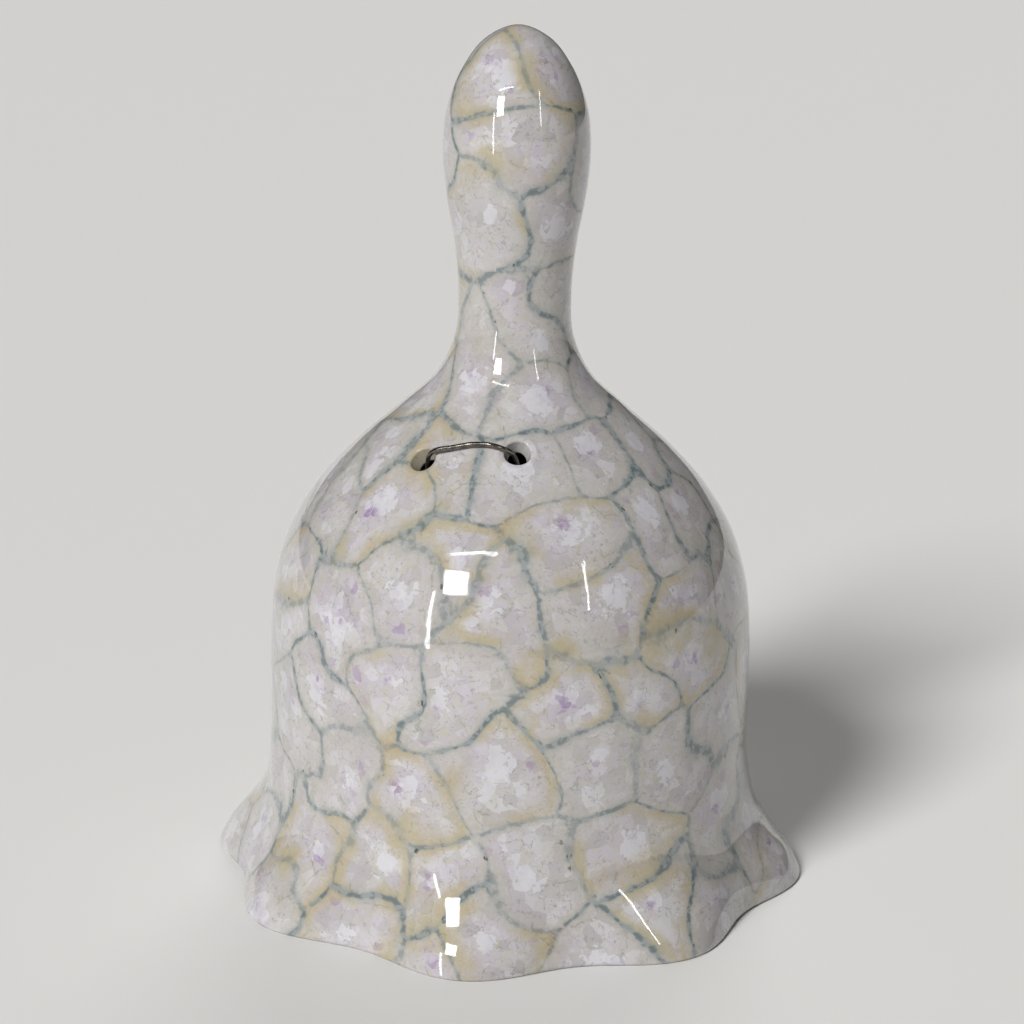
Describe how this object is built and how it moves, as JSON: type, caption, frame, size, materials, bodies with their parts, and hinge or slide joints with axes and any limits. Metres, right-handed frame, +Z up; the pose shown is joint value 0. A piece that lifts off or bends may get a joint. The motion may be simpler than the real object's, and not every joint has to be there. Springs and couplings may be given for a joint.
{
  "type": "porcelain hand bell",
  "caption": "Glazed porcelain hand bell with a fluted rim, hollow egg-shaped handle and a wire-hung ceramic clapper ball.",
  "frame": {"origin": "middle of the mouth, level with the foot of the rim the bell stands on", "axes": "+Z up the handle, the two wire holes in the shoulder at -Y, +X to the right of someone facing them"},
  "size_m": [0.1052, 0.1052, 0.15],
  "materials": {
    "crackle_glaze": "glossy clear glaze over pale lilac white, with teal grey veins, cream halos and lilac flecks",
    "ball_glaze": "glossy clear glaze over the same pale body, with finer veins",
    "hanger_steel": "drawn steel wire, bright with faint die lines",
    "link_steel": "drawn steel wire, bright with faint die lines",
    "clapper_steel": "drawn steel wire, bright with faint die lines"
  },
  "bodies": {
    "bell": {"bell_shell": "crackle_glaze"},
    "hanger": {"hanger_wire": "hanger_steel"},
    "link": {"link_ring": "link_steel"},
    "clapper": {"clapper_wire": "clapper_steel"},
    "ball": {"clapper_ball": "ball_glaze"}
  },
  "joints": [
    {"name": "hanger_rock", "type": "hinge", "parent": "bell", "child": "hanger", "pos_m": [-0.00685, -0.01941, 0.07981], "axis": [0.979, -0.1576, 0.1297], "range_deg": [0, 3]},
    {"name": "link_swing", "type": "hinge", "parent": "hanger", "child": "link", "pos_m": [0, 0, 0.064], "axis": [0, 1, 0], "range_deg": [-33, 33]},
    {"name": "clapper_swing", "type": "hinge", "parent": "link", "child": "clapper", "pos_m": [0, 0, 0.0603], "axis": [1, 0, 0], "range_deg": [-14, 14]},
    {"name": "ball_spin", "type": "hinge", "parent": "clapper", "child": "ball", "pos_m": [0, 0, 0.015], "axis": [0, 0, 1], "continuous": true}
  ]
}
